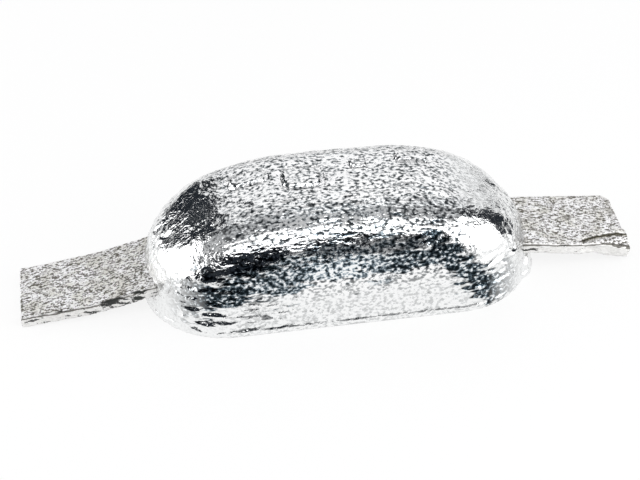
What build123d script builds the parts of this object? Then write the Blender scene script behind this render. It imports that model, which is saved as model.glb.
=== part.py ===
"""Weld-on hull anode: a zinc loaf cast round one flat steel strap.

The origin is the centre of the casting's flat back. +X runs along the strap and +Z points
away from the hull. Lengths are in millimetres and angles in degrees.
"""
import os
from math import asin, atan, cos, degrees, radians, sin, tan

from build123d import *

# Casting: plan, as it leaves the mould
casting_length = 200.0
casting_width = 90.0
end_flat = 4.0  # straight stretch across each end, between the round corners
rim_width = 1.4  # lip of zinc that spreads over the rim of the mould
rim_height = 2.6
rim_rounding = 1.0
wall_draft = 1.5  # lean of the walls, so that the loaf knocks out of the mould

# Casting: side view
casting_height = 57.5
crown_radius = 500.0  # long gentle arc along the top
crown_length = 65.0
end_wall_height = 21.7  # where the arcs that fall from the crown meet the end walls
shoulder_radius = 25.0  # rolled edge between the top and the walls

# Strap: rolled flat bar, with its levels measured at mid-thickness
strap_width = 41.0
strap_thickness = 6.5
strap_level = 16.8  # above the back, inside the zinc

# Left lug: cranked down to the plating, then eased back to lie along it
left_lug_length = 61.5  # clear of the zinc
left_crank_inset = 13.0  # the crank starts this far inside the zinc
left_crank_radius = 25.0
foot_length = 38.1
foot_angle = 5.6
foot_radius = 115.0
left_tip_gap = 0.3  # underside of the tip, above the plating

# Right lug: one straight slope, sheared a little off square
right_lug_length = 51.0
right_crank_inset = 7.5
right_crank_radius = 40.0
right_tip_gap = 7.4
shear_angle = 2.3
back_corner_radius = 5.0
crease_setback = 25.8  # the front corner is beaten down about a slanting crease
crease_angle = 18.0
corner_drop_angle = 32.0

zinc_end = casting_length / 2
left_tip = -zinc_end - left_lug_length
right_tip = zinc_end + right_lug_length
right_crank = zinc_end - right_crank_inset
right_tip_level = right_tip_gap + strap_thickness / 2
right_slope = degrees(atan((strap_level - right_tip_level) / (right_tip - right_crank)))


def round_ended(length, width):
    """A rectangle whose corners leave only the short end flats straight."""
    return RectangleRounded(length, width, (width - end_flat) / 2)


def make_rim():
    rim = extrude(round_ended(casting_length, casting_width), rim_height)
    return fillet(rim.edges().group_by(Axis.Z)[-1], rim_rounding)


def side_view():
    """The loaf from the side: a crown, and an arc that falls from it to each end wall."""
    half_angle = degrees(asin(crown_length / 2 / crown_radius))
    crown = CenterArc((0, casting_height - crown_radius), crown_radius, 90 - half_angle, 2 * half_angle)
    right_fall = TangentArc(crown @ 0, (zinc_end, end_wall_height), tangent=-(crown % 0))
    left_fall = TangentArc(crown @ 1, (-zinc_end, end_wall_height), tangent=crown % 1)
    walls = Polyline(right_fall @ 1, (zinc_end, 0), (-zinc_end, 0), left_fall @ 1)
    return make_face([crown, right_fall, left_fall, walls])


def make_loaf():
    """Drafted walls, cut to the side view, with the edge round the top rolled over."""
    foot = round_ended(casting_length - 2 * rim_width, casting_width - 2 * rim_width)
    walls = extrude(foot, casting_height, taper=wall_draft)
    loaf = walls & extrude(Plane.XZ * side_view(), casting_width, both=True)
    top_edges = [edge for face in loaf.faces() if face.normal_at().Z > 0.5 for edge in face.edges()]
    shoulder = [edge for edge in top_edges if top_edges.count(edge) == 1]
    return fillet(shoulder, shoulder_radius)


def strap_centreline():
    """Mid-thickness line: foot, crank, level run through the zinc, crank, sloping lug."""
    foot_bend = left_tip + foot_length
    left_tip_level = left_tip_gap + strap_thickness / 2 / cos(radians(foot_angle))
    foot_bend_level = left_tip_level + foot_length * tan(radians(foot_angle))
    points = [
        (left_tip - strap_thickness, left_tip_level - strap_thickness * tan(radians(foot_angle))),
        (foot_bend, foot_bend_level),
        (-zinc_end + left_crank_inset, strap_level),
        (right_crank, strap_level),
        (right_tip + strap_thickness, right_tip_level - strap_thickness * tan(radians(right_slope))),
    ]
    return FilletPolyline(*points, radius=[foot_radius, left_crank_radius, right_crank_radius])


def strap_plan():
    """The bar from above: square at the left, sheared off square at the right."""
    half_width = strap_width / 2
    shear = half_width * tan(radians(shear_angle))
    outline = make_face(Polyline(
        (left_tip, -half_width),
        (right_tip - shear, -half_width),
        (right_tip + shear, half_width),
        (left_tip, half_width),
        close=True,
    ))
    return fillet(outline.vertices().sort_by(Axis.X)[-1], back_corner_radius)


def beat_down_corner(bar):
    """Turn the right lug's front corner down about a crease in its top face."""
    slope = radians(right_slope)
    slant = radians(crease_angle)
    crease_x = right_tip - crease_setback
    crease_level = strap_level - (crease_x - right_crank) * tan(slope) + strap_thickness / 2 / cos(slope)
    along_lug = Vector(cos(slope), 0, -sin(slope))
    crease_line = along_lug * cos(slant) + Vector(0, sin(slant), 0)
    to_corner = along_lug * sin(slant) - Vector(0, cos(slant), 0)
    crease = Plane((crease_x, -strap_width / 2, crease_level), x_dir=crease_line, z_dir=to_corner)
    corner = split(bar, bisect_by=crease, keep=Keep.TOP)
    rest = split(bar, bisect_by=crease, keep=Keep.BOTTOM)
    return rest + corner.rotate(Axis(crease.origin, crease_line), corner_drop_angle)


def make_strap():
    section = trace(strap_centreline(), line_width=strap_thickness)
    bar = extrude(Plane.XZ * section, strap_width / 2, both=True) & extrude(strap_plan(), casting_height)
    return beat_down_corner(bar)


strap = make_strap()
casting = make_loaf() + make_rim() - strap

os.makedirs("parts", exist_ok=True)
export_step(casting, "parts/anode_casting.step")
export_step(strap, "parts/steel_strap.step")
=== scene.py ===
"""Weld-on hull anode for looks: a loaf of rough-cast zinc round a galvanised steel strap."""
import math

import bpy
from mathutils import Matrix, Vector
from mathutils.bvhtree import BVHTree


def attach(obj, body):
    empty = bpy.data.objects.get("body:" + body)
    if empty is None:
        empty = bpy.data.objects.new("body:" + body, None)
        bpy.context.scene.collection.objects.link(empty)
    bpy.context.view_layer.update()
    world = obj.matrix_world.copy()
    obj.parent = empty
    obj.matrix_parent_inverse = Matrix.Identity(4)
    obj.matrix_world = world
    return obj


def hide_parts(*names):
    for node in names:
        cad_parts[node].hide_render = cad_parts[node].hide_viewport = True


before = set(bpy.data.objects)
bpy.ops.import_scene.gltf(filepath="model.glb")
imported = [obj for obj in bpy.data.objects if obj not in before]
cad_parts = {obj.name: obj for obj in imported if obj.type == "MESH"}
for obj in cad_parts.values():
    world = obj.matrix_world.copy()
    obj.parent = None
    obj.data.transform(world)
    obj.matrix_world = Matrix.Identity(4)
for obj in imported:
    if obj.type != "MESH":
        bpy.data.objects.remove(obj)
bpy.ops.object.select_all(action="DESELECT")
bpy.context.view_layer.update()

MM = 0.001

# ---------------------------------------------------------------- sizes and places
# Heights, depths and places are in mm along the part's own axes; what is multiplied by MM is in metres.

weld = 0.01 * MM  # points closer than this are one
on_the_bar = 0.02 * MM  # a wall this close to the strap is a wall of its slot
zinc_voxel = 0.95 * MM
steel_voxel = 0.75 * MM
slot_gap = 0.08 * MM  # the slot clears the strap by this much

back_skin = 0.3  # the skin of the casting's flat back lies below this level

# Casting: bare pads on the crown, each by x, y, length and width
pads = [
    (-43.8, 10.1, 18.0, 9.0),
    (-17.3, 4.7, 19.0, 15.0),
    (13.0, 11.6, 9.0, 6.0),
    (41.1, 14.8, 17.0, 7.5),
]
pad_height = 1.3
pad_rim_depth = 0.9
foot_flare = 1.1
right_run_height = 2.4  # zinc that ran out beside each lug
left_run_height = 0.6

# Casting: spots that are worked apart, each by its centre and its reach each way
wrinkles_left = ((-60.0, -42.0, 16.0), (46.0, 28.0, 19.0))
wrinkles_right = ((74.0, -34.0, 18.0), (26.0, 26.0, 17.0))
crown_front = ((0.0, -14.0, 54.0), (92.0, 16.0, 22.0))
right_run = ((99.0, -19.0, 5.0), (9.0, 12.0, 11.0))
left_run = ((-99.0, -20.5, 7.0), (8.0, 8.0, 10.0))

# Strap: how far the hammer moved the right lug's front edge and corner, and the left lug's back corner
front_edge_drop = 1.0
undercut = 2.4
underside_drop = 1.5
tip_pull = 2.8
tip_drop = 0.6
left_corner_draw = 1.6
edge_inset = 2.0  # the top face is sounded this far in from a long edge
long_edge_y = 18.0  # past this the skin belongs to a long edge

# Strap: crease of the beaten corner: where it leaves the front edge, how far it runs each way,
# the power of its bow, and its lip and hollow
crease_start = (124.0, -20.5)
crease_run = (22.0, 8.7)
crease_bow = 0.4
crease_lip_height = 0.5
crease_hollow_depth = 0.9

# Finishes: sizes of their patterns
zinc_speck = 1.5 * MM
zinc_streak = 2.8 * MM
zinc_cloud = 20.0 * MM
dark_reflection_thin_x = -8.0 * MM  # where along the casting the painted dark reflection is thinnest
steel_speck = 0.9 * MM
steel_flake = 1.8 * MM
steel_patch = 9.0 * MM

# Camera: its lens and frame in pixels, its direction in degrees, its place in metres
lens_px = 1500.0
frame_px = 640.0
sensor_mm = 36.0
camera_elevation = 38.3
camera_azimuth = -9.65
camera_distance = 0.7807
camera_right = -0.0082
camera_up = 0.0147

# Studio: each soft box by azimuth, elevation, distance, width, height and glow
lamps = {
    "left box": (-100.0, 18.0, 1.2, 1.4, 0.9, 2.8),
    "right box": (64.0, 20.0, 1.2, 1.2, 1.1, 3.0),
    "front top box": (-4.0, 59.0, 1.3, 1.6, 0.56, 2.3),
    "front fill": (22.0, 12.0, 1.3, 0.9, 0.8, 0.3),
    "ceiling": (0.0, 90.0, 1.6, 3.0, 2.2, 0.50),
    "back box": (164.0, 34.0, 1.5, 2.0, 1.7, 0.95),
}
floor_radius = 3.6
floor_lift = 0.85  # the share of plain white that the camera and the metal see in the floor


def towards(azimuth, elevation):
    """The way from the piece; azimuth 0 is the front, 90 the right."""
    turn = math.radians(azimuth)
    tilt = math.radians(elevation)
    return Vector((math.sin(turn) * math.cos(tilt), -math.cos(turn) * math.cos(tilt), math.sin(tilt)))


def put_camera():
    back = towards(camera_azimuth, camera_elevation)
    turn = math.radians(camera_azimuth)
    right = Vector((math.cos(turn), math.sin(turn), 0.0))
    up = back.cross(right)
    bpy.ops.object.camera_add()
    camera = bpy.context.object
    camera.name = "camera"
    camera.data.sensor_width = sensor_mm
    camera.data.lens = lens_px * sensor_mm / frame_px
    camera.data.clip_start = 0.01
    camera.data.clip_end = 50.0
    place = back * camera_distance + right * camera_right + up * camera_up
    axes = Matrix((right, up, back)).transposed().to_4x4()
    camera.matrix_world = Matrix.Translation(place) @ axes
    bpy.context.scene.camera = camera


# ---------------------------------------------------------------- tools

def only(piece):
    """Select one piece and nothing else."""
    bpy.ops.object.select_all(action="DESELECT")
    piece.select_set(True)
    bpy.context.view_layer.objects.active = piece


def apply(piece, kind, **settings):
    """Add a modifier with its settings and apply it."""
    modifier = piece.modifiers.new(kind.lower(), kind)
    for name, value in settings.items():
        setattr(modifier, name, value)
    only(piece)
    bpy.ops.object.modifier_apply(modifier=modifier.name)


def skin_of(piece):
    """A tree that sounds a piece's skin."""
    return BVHTree.FromPolygons(
        [vertex.co for vertex in piece.data.vertices],
        [face.vertices for face in piece.data.polygons],
    )


def copy_node(node, name):
    """A node's shape as a new piece, its loose triangles joined."""
    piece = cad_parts[node].copy()
    piece.data = piece.data.copy()
    piece.name = name
    piece.data.name = name
    piece.parent = None
    for key in list(piece.keys()):
        del piece[key]
    bpy.context.collection.objects.link(piece)
    only(piece)
    bpy.ops.object.mode_set(mode="EDIT")
    bpy.ops.mesh.select_all(action="SELECT")
    bpy.ops.mesh.remove_doubles(threshold=weld)
    bpy.ops.object.mode_set(mode="OBJECT")
    return piece


def open_with(piece, kind, items, wanted):
    """Open a piece for editing, with only the wanted faces or points selected."""
    only(piece)
    bpy.ops.object.mode_set(mode="EDIT")
    bpy.ops.mesh.select_mode(type=kind)
    bpy.ops.mesh.select_all(action="DESELECT")
    bpy.ops.object.mode_set(mode="OBJECT")
    for item in items:
        item.select = wanted(item)
    bpy.ops.object.mode_set(mode="EDIT")


def close_slot(piece, bar):
    """Take out the walls that lie on the bar and cap the two mouths."""
    skin = skin_of(bar)
    open_with(
        piece, "FACE", piece.data.polygons, lambda face: skin.find_nearest(face.center)[3] < on_the_bar,
    )
    bpy.ops.mesh.delete(type="FACE")
    bpy.ops.mesh.select_all(action="SELECT")
    bpy.ops.mesh.fill_holes(sides=0)
    bpy.ops.mesh.quads_convert_to_tris()
    bpy.ops.object.mode_set(mode="OBJECT")


def lay_flat(piece):
    """Press the flat back onto its plane."""
    open_with(piece, "VERT", piece.data.vertices, lambda vertex: vertex.co.z < back_skin * MM)
    bpy.ops.transform.resize(value=(1.0, 1.0, 0.0), center_override=(0.0, 0.0, 0.0))
    bpy.ops.object.mode_set(mode="OBJECT")


def weigh(piece, name, weight):
    """A vertex group whose weight comes from each point's place in mm and its normal."""
    group = piece.vertex_groups.new(name=name)
    for vertex in piece.data.vertices:
        amount = weight(vertex.co / MM, vertex.normal)
        if amount > 0.0:
            group.add([vertex.index], min(1.0, amount), "REPLACE")
    return name


def swell(piece, height, group):
    """Raise the skin evenly by so many mm, as far as the group's weight goes."""
    apply(piece, "DISPLACE", strength=height * MM, mid_level=0.0, vertex_group=group)


def shove(piece, way, distance, group):
    """Move the skin along an axis by so many mm, as far as the group's weight goes."""
    apply(piece, "DISPLACE", direction=way, strength=distance * MM, mid_level=0.0, vertex_group=group)


def relief(piece, depth, lumps, group="", shift=0.0, **settings):
    """Raise and sink the skin by a cloudy pattern; lumps is its size each way in mm, shift moves it on."""
    texture = bpy.data.textures.new("relief", "CLOUDS")
    texture.noise_scale = 1.0
    for name, value in settings.items():
        setattr(texture, name, value)
    bpy.ops.object.empty_add(location=(shift * MM, shift * MM, 0.0))
    gauge = bpy.context.object
    gauge.scale = [size * MM for size in lumps]
    bpy.context.view_layer.update()
    apply(
        piece, "DISPLACE", texture=texture, texture_coords="OBJECT", texture_coords_object=gauge,
        strength=depth * MM, mid_level=0.5, vertex_group=group,
    )
    bpy.data.objects.remove(gauge)


def ramp(value, low, high):
    """0 below low, 1 above high, eased between."""
    share = min(1.0, max(0.0, (value - low) / (high - low)))
    return share * share * (3.0 - 2.0 * share)


def near(place, spot):
    """1 round a spot's centre, easing to 0 at its reach each way."""
    centre, reach = spot
    span = math.sqrt(sum(((a - b) / r) ** 2 for a, b, r in zip(place, centre, reach)))
    return 1.0 - ramp(span, 0.45, 1.0)


# ---------------------------------------------------------------- casting
# Each function that takes a place and a normal gives how far that point of the skin takes part, from 0 to 1.
# A ramp's two numbers are where a band begins and where it is whole, in mm or as a share of the normal.

def above_bed(place, normal):
    """Everything but the flat back, which stays on its plane."""
    return ramp(place.z, back_skin, 3.0)


def low_front_left(place, normal):
    """The lower front corner on the left, wrinkled like its fellow on the right."""
    return near(place, wrinkles_left) * above_bed(place, normal)


def low_front_right(place, normal):
    return near(place, wrinkles_right) * above_bed(place, normal)


def crown_edge(place, normal):
    """Where the crown rolls over to the front, drawn into long ripples."""
    return near(place, crown_front)


def end_walls(place, normal):
    return ramp(abs(place.x), 78.0, 94.0) * above_bed(place, normal)


def pad_span(place):
    """0 at the middle of the nearest pad, 1 at its rim; the pads are oblong with round corners."""
    return min(
        ((abs(place.x - x) / (length / 2)) ** 4 + (abs(place.y - y) / (width / 2)) ** 4) ** 0.25
        for x, y, length, width in pads
    )


def on_a_pad(place, normal):
    """The top of a pad, and its rim down to the crown."""
    return 1.0 - ramp(pad_span(place), 0.88, 1.04) if normal.z > 0.7 else 0.0


def round_a_pad(place, normal):
    """The sunk line at the foot of each pad's rim."""
    span = pad_span(place)
    return ramp(span, 0.95, 1.08) * (1.0 - ramp(span, 1.14, 1.3)) if normal.z > 0.7 else 0.0


def above_the_lip(place, normal):
    """The foot of the wall, which flares out until it is flush with the lip."""
    on_the_wall = 1.0 - ramp(abs(normal.z), 0.5, 0.9)
    return ramp(place.z, 1.2, 3.0) * (1.0 - ramp(place.z, 3.5, 17.0)) * on_the_wall


def shoulder_foot(place, normal):
    """Where the wall starts to roll over, dimpled by the mould."""
    return ramp(place.z, 12.0, 22.0) * (1.0 - ramp(place.z, 34.0, 42.0))


def beside_right_lug(place, normal):
    """The run of zinc that froze beside the mouth of the slot."""
    return near(place, right_run) * ramp(place.z, 0.0, 0.8)


def beside_left_lug(place, normal):
    return near(place, left_run) * ramp(place.z, 0.0, 0.8)


def make_casting():
    casting = copy_node("anode_casting", "zinc_casting")
    bar = copy_node("steel_strap", "bar_shape")
    close_slot(casting, bar)
    bpy.data.objects.remove(bar)
    apply(casting, "REMESH", mode="VOXEL", voxel_size=zinc_voxel)
    apply(casting, "SMOOTH", factor=0.5, iterations=4)
    skin = weigh(casting, "skin", above_bed)
    ripple_left = weigh(casting, "ripple left", low_front_left)
    ripple_right = weigh(casting, "ripple right", low_front_right)
    edge = weigh(casting, "crown edge", crown_edge)
    ends = weigh(casting, "ends", end_walls)
    raised = weigh(casting, "pads", on_a_pad)
    swell(casting, pad_height, raised)
    swell(casting, -pad_rim_depth, weigh(casting, "pad rims", round_a_pad))
    swell(casting, foot_flare, weigh(casting, "flare", above_the_lip))
    swell(casting, right_run_height, weigh(casting, "right run", beside_right_lug))
    swell(casting, left_run_height, weigh(casting, "left run", beside_left_lug))
    # the skin as it froze: low lumps, and finer ones drawn out along the loaf
    relief(casting, depth=0.7, lumps=(10.0, 7.0, 6.0), group=skin, noise_depth=0)
    relief(casting, depth=0.3, lumps=(4.0, 1.8, 1.8), group=skin, noise_depth=1, shift=3.0)
    relief(
        casting, depth=0.5, lumps=(6.0, 2.0, 2.0), group=weigh(casting, "foot of shoulder", shoulder_foot),
        noise_depth=0, shift=9.0,
    )
    # flat wrinkles where the zinc ran into the cold lower corners
    relief(
        casting, depth=2.0, lumps=(10.0, 10.0, 2.2), group=ripple_left, noise_depth=0, contrast=1.5, shift=1.0,
    )
    relief(
        casting, depth=1.6, lumps=(8.0, 8.0, 2.2), group=ripple_right, noise_depth=0, contrast=1.5, shift=2.0,
    )
    apply(casting, "SMOOTH", factor=0.5, iterations=2, vertex_group=raised)
    relief(casting, depth=1.5, lumps=(10.0, 2.6, 2.6), group=edge, noise_depth=0, shift=5.0)
    relief(casting, depth=0.5, lumps=(6.0, 6.0, 2.4), group=ends, noise_depth=0, shift=4.0)
    cutter = copy_node("steel_strap", "cutter")
    apply(cutter, "DISPLACE", strength=slot_gap, mid_level=0.0)
    apply(casting, "BOOLEAN", operation="DIFFERENCE", object=cutter, solver="EXACT")
    bpy.data.objects.remove(cutter)
    lay_flat(casting)
    only(casting)
    bpy.ops.object.shade_smooth()
    return casting


# ---------------------------------------------------------------- strap

def crease_side(place):
    """How far a point lies behind the crease of the beaten corner; the crease bows to the front edge."""
    along = max(0.0, (place.x - crease_start[0]) / crease_run[0])
    return place.y - crease_start[1] - crease_run[1] * along ** crease_bow


def crease_lip(place, normal):
    """The rolled lip just behind the crease."""
    side = crease_side(place)
    on_top = ramp(normal.z, 0.3, 0.7)
    return ramp(side, -0.7, 0.2) * (1.0 - ramp(side, 0.6, 2.6)) * ramp(place.x, 123.5, 126.5) * on_top


def crease_hollow(place, normal):
    """The hammered hollow in front of the crease."""
    side = -crease_side(place)
    on_top = ramp(normal.z, 0.3, 0.7)
    return ramp(side, -0.2, 0.6) * (1.0 - ramp(side, 1.6, 4.5)) * ramp(place.x, 124.5, 128.0) * on_top


def right_front_edge(place, normal):
    return ramp(place.x, 101.5, 114.0) * ramp(-place.y, 2.0, 20.0)


def beaten_tip(place, normal):
    return ramp(place.x, 138.0, 150.0) * ramp(-place.y, 4.0, 19.0)


def beaten_underside(place, normal):
    """The lower half of the beaten corner's front edge."""
    return ramp(place.x, 106.0, 130.0) * ramp(-place.y, 8.0, 17.0) * (1.0 - ramp(place.z, 6.0, 12.5))


def left_back_corner(place, normal):
    return ramp(-place.x, 125.0, 160.0) * ramp(place.y, 2.0, 20.0)


def mark_depth(piece):
    """Keep, at each point of the two long edges, how far it lies below the top face beside it."""
    skin = skin_of(piece)
    down = Vector((0.0, 0.0, -1.0))
    depth = piece.data.attributes.new("depth", "FLOAT", "POINT")
    for vertex in piece.data.vertices:
        if abs(vertex.co.y) > long_edge_y * MM:
            inset_y = math.copysign(abs(vertex.co.y) - edge_inset * MM, vertex.co.y)
            top = skin.ray_cast(Vector((vertex.co.x, inset_y, 0.1)), down)[0]
            if top:
                depth.data[vertex.index].value = max(0.0, top.z - vertex.co.z)


def make_strap():
    strap = copy_node("steel_strap", "flat_bar_strap")
    apply(strap, "REMESH", mode="VOXEL", voxel_size=steel_voxel)
    apply(strap, "SMOOTH", factor=0.5, iterations=5)
    underside = weigh(strap, "beaten underside", beaten_underside)
    tip = weigh(strap, "beaten tip", beaten_tip)
    shove(strap, "Z", -front_edge_drop, weigh(strap, "right front edge", right_front_edge))
    shove(strap, "Y", -undercut, underside)
    shove(strap, "Z", -underside_drop, underside)
    shove(strap, "X", tip_pull, tip)
    shove(strap, "Z", -tip_drop, tip)
    shove(strap, "Y", -left_corner_draw, weigh(strap, "left back corner", left_back_corner))
    swell(strap, crease_lip_height, weigh(strap, "crease lip", crease_lip))
    swell(strap, -crease_hollow_depth, weigh(strap, "crease hollow", crease_hollow))
    mark_depth(strap)
    # rolling scale under the galvanising, coarse and fine
    relief(strap, depth=0.35, lumps=(5.0, 3.5, 3.5), noise_depth=0)
    relief(strap, depth=0.15, lumps=(1.6, 1.6, 1.6), noise_depth=1, shift=2.0)
    only(strap)
    bpy.ops.object.shade_smooth()
    return strap


# ---------------------------------------------------------------- finishes

def paint(hex_colour):
    """An sRGB hex colour as linear red, green, blue and 1."""
    parts = [int(hex_colour[i:i + 2], 16) / 255.0 for i in (1, 3, 5)]
    return [p / 12.92 if p <= 0.04045 else ((p + 0.055) / 1.055) ** 2.4 for p in parts] + [1.0]


def add(tree, kind, settings=None, **links):
    """Add a node with its settings and links.

    A setting goes to a socket, by its name or number, to the stops of a colour ramp, as pairs of place
    and hex colour, or to a property. A link goes to a socket by its name, or by its number after _.
    """
    node = tree.nodes.new("ShaderNode" + kind)
    for name, value in (settings or {}).items():
        if name == "stops":
            elements = node.color_ramp.elements
            while len(elements) < len(value):
                elements.new(0.5)
            for element, (place, colour) in zip(elements, value):
                element.position = place
                element.color = paint(colour)
        elif isinstance(name, int) or name in node.inputs:
            node.inputs[name].default_value = value
        else:
            setattr(node, name, value)
    for name, source in links.items():
        target = node.inputs[int(name[1:])] if name[0] == "_" else node.inputs[name.replace("_", " ")]
        tree.links.new(source, target)
    return node


def new_material(name):
    material = bpy.data.materials.new(name)
    material.use_nodes = True
    material.node_tree.nodes.clear()
    return material, material.node_tree


def rough_cast_zinc():
    """Zinc poured in an open mould: bright, pitted and rippled; its sparkle is painted into its colour as black
    and white specks.

    Its real pits start at a few tenths of a millimetre; they are drawn at 1.5 mm, as painted specks and bumps,
    coarse enough to show.
    """
    material, tree = new_material("rough-cast zinc")
    place = add(tree, "TexCoord").outputs["Object"]
    level = add(tree, "SeparateXYZ", _0=place).outputs
    along = add(tree, "Math", {"operation": "ABSOLUTE"}, _0=level["X"]).outputs[0]
    drawn = add(tree, "Mapping", {"Scale": (0.75, 1.0, 1.0)}, Vector=place).outputs["Vector"]
    streaked = add(tree, "Mapping", {"Scale": (0.25, 1.0, 1.0)}, Vector=place).outputs["Vector"]
    grain = add(
        tree, "TexNoise", {"Scale": 1.0 / zinc_speck, "Detail": 2.0, "Roughness": 0.5}, Vector=drawn,
    ).outputs["Fac"]
    flow = add(
        tree, "TexNoise", {"Scale": 1.0 / zinc_streak, "Detail": 2.0, "Roughness": 0.5}, Vector=streaked,
    ).outputs["Fac"]
    cloud = add(
        tree, "TexNoise", {"Scale": 1.0 / zinc_cloud, "Detail": 2.0, "Roughness": 0.5}, Vector=place,
    ).outputs["Fac"]
    # painted sparkle: black and white specks in the zinc's colour stand for the glints and shaded hollows of
    # its pits
    painted_sparkle = add(
        tree, "ValToRGB",
        {"stops": [(0.36, "#33383b"), (0.44, "#a2a6a8"), (0.50, "#ececed"), (0.57, "#ffffff")]}, Fac=grain,
    )

    # the lower walls and the ends get fewer painted specks and stay plain pale: painted reflections of the
    # white floor and the lamps
    above_wall = add(
        tree, "MapRange", {"From Min": 16.0 * MM, "From Max": 30.0 * MM, "To Min": 0.35, "To Max": 1.0},
        Value=level["Z"],
    )
    inner = add(
        tree, "MapRange", {"From Min": 55.0 * MM, "From Max": 68.0 * MM, "To Min": 1.0, "To Max": 0.25},
        Value=along,
    )
    share = add(
        tree, "Math", {"operation": "MULTIPLY"}, _0=above_wall.outputs["Result"], _1=inner.outputs["Result"],
    ).outputs[0]
    skin = add(
        tree, "Mix", {"data_type": "RGBA", 6: paint("#f4f5f5")}, _0=share, _7=painted_sparkle.outputs["Color"],
    ).outputs[2]

    # a blue-grey painted reflection of the dark front of the studio, along the foot of the shoulder: it comes
    # lower towards the ends, and its edges are torn into streaks
    left_fall = add(
        tree, "MapRange", {"From Min": -15.0 * MM, "From Max": -90.0 * MM, "To Max": 19.0 * MM},
        Value=level["X"],
    )
    right_fall = add(
        tree, "MapRange", {"From Min": 44.0 * MM, "From Max": 72.0 * MM, "To Max": 27.0 * MM},
        Value=level["X"],
    )
    falling = add(
        tree, "Math", {"operation": "ADD"}, _0=left_fall.outputs["Result"], _1=right_fall.outputs["Result"],
    )
    height = add(tree, "Math", {"operation": "ADD"}, _0=falling.outputs[0], _1=level["Z"])
    drift = add(tree, "Math", {"operation": "MULTIPLY_ADD", 1: 12.0 * MM}, _0=cloud, _2=height.outputs[0])
    torn = add(tree, "Math", {"operation": "MULTIPLY_ADD", 1: 42.0 * MM}, _0=flow, _2=drift.outputs[0])
    torn_height = add(
        tree, "MapRange", {"From Min": 36.0 * MM, "From Max": 86.0 * MM}, Value=torn.outputs[0],
    )
    dark_reflection_band = add(
        tree, "ValToRGB",
        {"stops": [(0.36, "#000000"), (0.42, "#ffffff"), (0.72, "#ffffff"), (0.82, "#000000")]},
        Fac=torn_height.outputs["Result"],
    )
    inside = add(
        tree, "MapRange", {"From Min": 70.0 * MM, "From Max": 90.0 * MM, "To Min": 1.0, "To Max": 0.0},
        Value=along,
    )
    # it is fainter on the back half
    facing_front = add(
        tree, "MapRange", {"From Min": -10.0 * MM, "From Max": 20.0 * MM, "To Min": 1.0, "To Max": 0.45},
        Value=level["Y"],
    )
    where = add(
        tree, "Math", {"operation": "MULTIPLY"}, _0=inside.outputs["Result"], _1=facing_front.outputs["Result"],
    )
    shoulder_reflection_share = add(
        tree, "Math", {"operation": "MULTIPLY"}, _0=dark_reflection_band.outputs["Color"], _1=where.outputs[0],
    )

    # a thinner line of the painted dark reflection runs along the front edge of the crown
    leaning = add(tree, "Math", {"operation": "MULTIPLY_ADD", 1: 26.0 * MM}, _0=flow, _2=level["Y"])
    lean = add(
        tree, "MapRange", {"From Min": -30.0 * MM, "From Max": 10.0 * MM}, Value=leaning.outputs[0],
    )
    crown_reflection_line = add(
        tree, "ValToRGB",
        {"stops": [(0.27, "#000000"), (0.37, "#ffffff"), (0.52, "#ffffff"), (0.62, "#000000")]},
        Fac=lean.outputs["Result"],
    )
    on_crown = add(
        tree, "MapRange", {"From Min": 45.0 * MM, "From Max": 50.0 * MM, "To Max": 0.42}, Value=level["Z"],
    )
    crown_reflection_share = add(
        tree, "Math", {"operation": "MULTIPLY"},
        _0=crown_reflection_line.outputs["Color"], _1=on_crown.outputs["Result"],
    )
    dark_reflection_share = add(
        tree, "Math", {"operation": "MAXIMUM"}, _0=shoulder_reflection_share.outputs[0], _1=crown_reflection_share.outputs[0],
    )

    # the painted dark reflection is thickest, and darkest, towards the ends
    mid_dark_reflection = add(
        tree, "ValToRGB",
        {"stops": [(0.38, "#1e272c"), (0.45, "#66747d"), (0.52, "#b2bec6"), (0.58, "#f6f8f9")]}, Fac=grain,
    )
    end_dark_reflection = add(
        tree, "ValToRGB",
        {"stops": [(0.42, "#12191d"), (0.50, "#3a454d"), (0.57, "#77848c"), (0.65, "#eef1f3")]}, Fac=grain,
    )
    off_thin = add(tree, "Math", {"operation": "SUBTRACT", 1: dark_reflection_thin_x}, _0=level["X"])
    from_thin = add(tree, "Math", {"operation": "ABSOLUTE"}, _0=off_thin.outputs[0])
    thick = add(
        tree, "MapRange", {"From Min": 13.0 * MM, "From Max": 36.0 * MM}, Value=from_thin.outputs[0],
    )
    dark_reflection_colour = add(
        tree, "Mix", {"data_type": "RGBA"},
        _0=thick.outputs["Result"], _6=mid_dark_reflection.outputs["Color"], _7=end_dark_reflection.outputs["Color"],
    )
    colour = add(tree, "Mix", {"data_type": "RGBA"}, _0=dark_reflection_share.outputs[0], _6=skin, _7=dark_reflection_colour.outputs[2])

    dull = add(
        tree, "MapRange", {"From Min": 0.35, "From Max": 0.7, "To Min": 0.09, "To Max": 0.17}, Value=cloud,
    )
    low = add(tree, "Bump", {"Distance": 0.5 * MM}, Height=flow, Strength=share)
    fine = add(
        tree, "Bump", {"Strength": 0.9, "Distance": 0.3 * MM}, Height=grain, Normal=low.outputs["Normal"],
    )
    metal = add(
        tree, "BsdfPrincipled", {"Metallic": 1.0}, Base_Color=colour.outputs[2],
        Roughness=dull.outputs["Result"], Normal=fine.outputs["Normal"],
    )
    add(tree, "OutputMaterial", Surface=metal.outputs["BSDF"])
    return material


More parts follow.
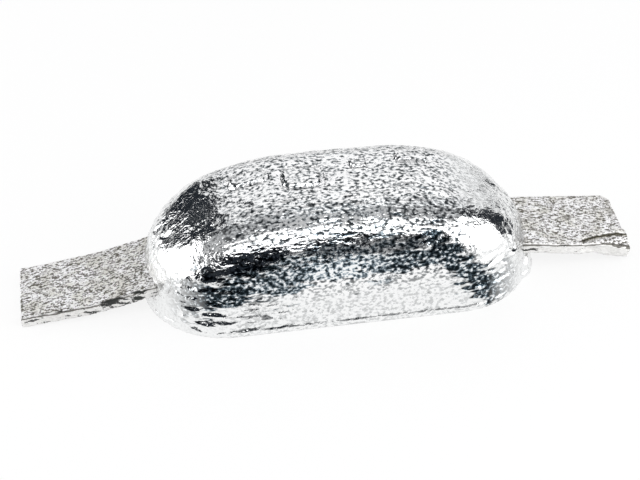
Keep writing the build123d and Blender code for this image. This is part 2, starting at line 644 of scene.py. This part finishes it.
def galvanised_bar():
    """Hot-dipped rolled flat bar: a dull grey skin with hammer scratches, its front and back faces and their
    arrises painted bright as a highlight.

    The real skin's specks are finer than 0.9 mm; they are drawn at that size, so that they show.
    """
    material, tree = new_material("galvanised flat bar")
    coords = add(tree, "TexCoord")
    place = coords.outputs["Object"]
    axes = add(tree, "SeparateXYZ", _0=place).outputs
    normal = add(tree, "SeparateXYZ", _0=coords.outputs["Normal"]).outputs
    facing = add(tree, "Math", {"operation": "ABSOLUTE"}, _0=normal["Y"]).outputs[0]
    slanted = add(
        tree, "Mapping", {"Rotation": (0.0, 0.0, math.radians(-55.0)), "Scale": (0.35, 1.0, 1.0)}, Vector=place,
    ).outputs["Vector"]
    drawn = add(tree, "Mapping", {"Scale": (0.3, 1.0, 1.0)}, Vector=place).outputs["Vector"]
    speck = add(
        tree, "TexNoise", {"Scale": 1.0 / steel_speck, "Detail": 2.0, "Roughness": 0.6}, Vector=place,
    ).outputs["Fac"]
    scratch = add(
        tree, "TexNoise", {"Scale": 1.0 / steel_speck, "Detail": 1.0, "Roughness": 0.5}, Vector=slanted,
    ).outputs["Fac"]
    patch = add(
        tree, "TexNoise", {"Scale": 1.0 / steel_patch, "Detail": 3.0, "Roughness": 0.6}, Vector=place,
    ).outputs["Fac"]
    flake = add(
        tree, "TexNoise", {"Scale": 1.0 / steel_flake, "Detail": 2.0, "Roughness": 0.6}, Vector=drawn,
    ).outputs["Fac"]

    both = add(tree, "Math", {"operation": "ADD"}, _0=speck, _1=scratch).outputs[0]
    mixed = add(tree, "MapRange", {"From Min": 0.5, "From Max": 1.5}, Value=both)
    mottle = add(
        tree, "ValToRGB",
        {"stops": [(0.37, "#5c594f"), (0.43, "#a8a5a4"), (0.49, "#d0ced0"), (0.56, "#fbfafb")]},
        Fac=mixed.outputs["Result"],
    )
    wash = add(tree, "ValToRGB", {"stops": [(0.36, "#e4e3dc"), (0.56, "#ffffff")]}, Fac=patch)
    skin = add(
        tree, "Mix", {"data_type": "RGBA", "blend_type": "MULTIPLY", "Factor": 1.0},
        _6=mottle.outputs["Color"], _7=wash.outputs["Color"],
    )
    # painted highlight: the faces that look to the front and back, and their arrises, are lightened towards a
    # pale grey
    edge = add(tree, "MapRange", {"From Min": 0.5, "From Max": 0.8, "To Max": 0.85}, Value=facing)
    painted_highlight = add(
        tree, "Mix", {"data_type": "RGBA", 7: paint("#f4f3f1")}, _0=edge.outputs["Result"], _6=skin.outputs[2],
    )

    # a broken dark line just below the arris of each long edge
    depth = add(tree, "Attribute", {"attribute_name": "depth"}).outputs["Fac"]
    waver = add(tree, "Math", {"operation": "MULTIPLY_ADD", 1: 2.4 * MM}, _0=flake, _2=depth)
    below = add(tree, "MapRange", {"From Min": 1.0 * MM, "From Max": 4.0 * MM}, Value=waver.outputs[0])
    arris = add(
        tree, "ValToRGB",
        {"stops": [(0.26, "#ffffff"), (0.34, "#3f3a2a"), (0.54, "#3f3a2a"), (0.62, "#ffffff")]},
        Fac=below.outputs["Result"],
    )
    lined = add(
        tree, "Mix", {"data_type": "RGBA", "blend_type": "MULTIPLY", "Factor": 0.85},
        _6=painted_highlight.outputs[2], _7=arris.outputs["Color"],
    )

    # dark flecks on the front edge beside the left crank
    lug = add(tree, "MapRange", {"From Min": -145.0 * MM, "From Max": -97.0 * MM}, Value=axes["X"])
    near_crank = add(
        tree, "ValToRGB",
        {"stops": [(0.05, "#000000"), (0.50, "#ffffff"), (0.85, "#ffffff"), (1.0, "#000000")]},
        Fac=lug.outputs["Result"],
    )
    flaking = add(
        tree, "Math", {"operation": "MULTIPLY_ADD", 1: 0.14}, _0=near_crank.outputs["Color"], _2=flake,
    )
    chipped = add(tree, "Math", {"operation": "MULTIPLY_ADD", 1: 0.5}, _0=speck, _2=flaking.outputs[0])
    flakes = add(tree, "MapRange", {"From Min": 0.86, "From Max": 0.92}, Value=chipped.outputs[0])
    front = add(tree, "MapRange", {"From Min": -19.6 * MM, "From Max": -20.1 * MM}, Value=axes["Y"])
    fleck_mask = add(
        tree, "Math", {"operation": "MULTIPLY"}, _0=flakes.outputs["Result"], _1=front.outputs["Result"],
    )
    flecked = add(
        tree, "Mix", {"data_type": "RGBA", 7: paint("#2b2d2b")}, _0=fleck_mask.outputs[0], _6=lined.outputs[2],
    )

    # painted shade: a dark line in the crease of the beaten corner
    start_x, start_y = crease_start[0] * MM, crease_start[1] * MM
    end_x, end_y = (crease_start[0] + crease_run[0]) * MM, (crease_start[1] + crease_run[1]) * MM
    run = add(tree, "MapRange", {"From Min": start_x, "From Max": end_x}, Value=axes["X"])
    bow = add(tree, "Math", {"operation": "POWER", 1: crease_bow}, _0=run.outputs["Result"])
    line = add(tree, "MapRange", {"To Min": start_y, "To Max": end_y}, Value=bow.outputs[0])
    behind = add(tree, "Math", {"operation": "SUBTRACT"}, _0=axes["Y"], _1=line.outputs["Result"])
    across = add(tree, "MapRange", {"From Min": -3.0 * MM, "From Max": 1.0 * MM}, Value=behind.outputs[0])
    crease_shade = add(
        tree, "ValToRGB",
        {"stops": [
            (0.20, "#ffffff"), (0.50, "#a8a496"), (0.57, "#3b3721"), (0.72, "#3b3721"), (0.80, "#ffffff"),
        ]},
        Fac=across.outputs["Result"],
    )
    on_corner = add(tree, "MapRange", {"From Min": 124.6 * MM, "From Max": 126.0 * MM}, Value=axes["X"])
    shaded_crease = add(
        tree, "Mix", {"data_type": "RGBA", "blend_type": "MULTIPLY"}, _0=on_corner.outputs["Result"],
        _6=flecked.outputs[2], _7=crease_shade.outputs["Color"],
    )

    bumps = add(tree, "Bump", {"Strength": 1.0, "Distance": 0.3 * MM}, Height=both)
    metal = add(
        tree, "BsdfPrincipled", {"Metallic": 0.35, "Roughness": 0.36}, Base_Color=shaded_crease.outputs[2],
        Normal=bumps.outputs["Normal"],
    )
    add(tree, "OutputMaterial", Surface=metal.outputs["BSDF"])
    return material


def dress(piece, material):
    piece.data.materials.clear()
    piece.data.materials.append(material)


# ---------------------------------------------------------------- studio

def matt_white_paper():
    """Studio paper: plain white to the camera and in the metal, and it keeps the soft shadow."""
    material, tree = new_material("matt white paper")
    rays = add(tree, "LightPath").outputs
    seen = add(tree, "Math", {"operation": "MAXIMUM"}, _0=rays["Is Camera Ray"], _1=rays["Is Glossy Ray"])
    shown = add(tree, "Math", {"operation": "MAXIMUM"}, _0=seen.outputs[0], _1=rays["Is Transmission Ray"])
    lift = add(tree, "Math", {"operation": "MULTIPLY", 1: floor_lift}, _0=shown.outputs[0])
    paper = add(tree, "BsdfDiffuse", {"Color": paint("#f4f4f4")})
    glow = add(tree, "Emission", {"Color": paint("#ffffff"), "Strength": 1.0})
    both = add(tree, "MixShader", _0=lift.outputs[0], _1=paper.outputs[0], _2=glow.outputs[0])
    add(tree, "OutputMaterial", Surface=both.outputs[0])
    return material


def make_floor():
    """A round sheet, wide enough to fill low views."""
    bpy.ops.mesh.primitive_circle_add(vertices=96, radius=floor_radius, fill_type="NGON")
    floor = bpy.context.object
    floor.name = "floor"
    dress(floor, matt_white_paper())


def soft_lamp(name, azimuth, elevation, distance, width, height, glow):
    """A soft box that faces the piece; glow is how bright its face looks, where 1 is white."""
    way = towards(azimuth, elevation)
    bpy.ops.object.light_add(type="AREA", location=way * distance)
    lamp = bpy.context.object
    lamp.name = name
    lamp.data.shape = "RECTANGLE"
    lamp.data.size = width
    lamp.data.size_y = height
    lamp.data.energy = glow * math.pi * width * height
    lamp.rotation_euler = way.to_track_quat("Z", "Y").to_euler()
    lamp.visible_camera = False


def make_studio():
    make_floor()
    for name, settings in lamps.items():
        soft_lamp(name, *settings)
    world = bpy.data.worlds.new("dim studio")
    bpy.context.scene.world = world
    world.use_nodes = True
    background = world.node_tree.nodes["Background"].inputs
    background["Color"].default_value = paint("#23282e")
    background["Strength"].default_value = 1.0


# ---------------------------------------------------------------- making

put_camera()

casting = make_casting()
strap = make_strap()

dress(casting, rough_cast_zinc())
dress(strap, galvanised_bar())

for piece, node, finish_slot in (
    (casting, "anode_casting", "cast_zinc"),
    (strap, "steel_strap", "galvanised_steel"),
):
    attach(piece, "root")
    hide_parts(node)

make_studio()

bpy.context.scene.view_settings.view_transform = "Standard"
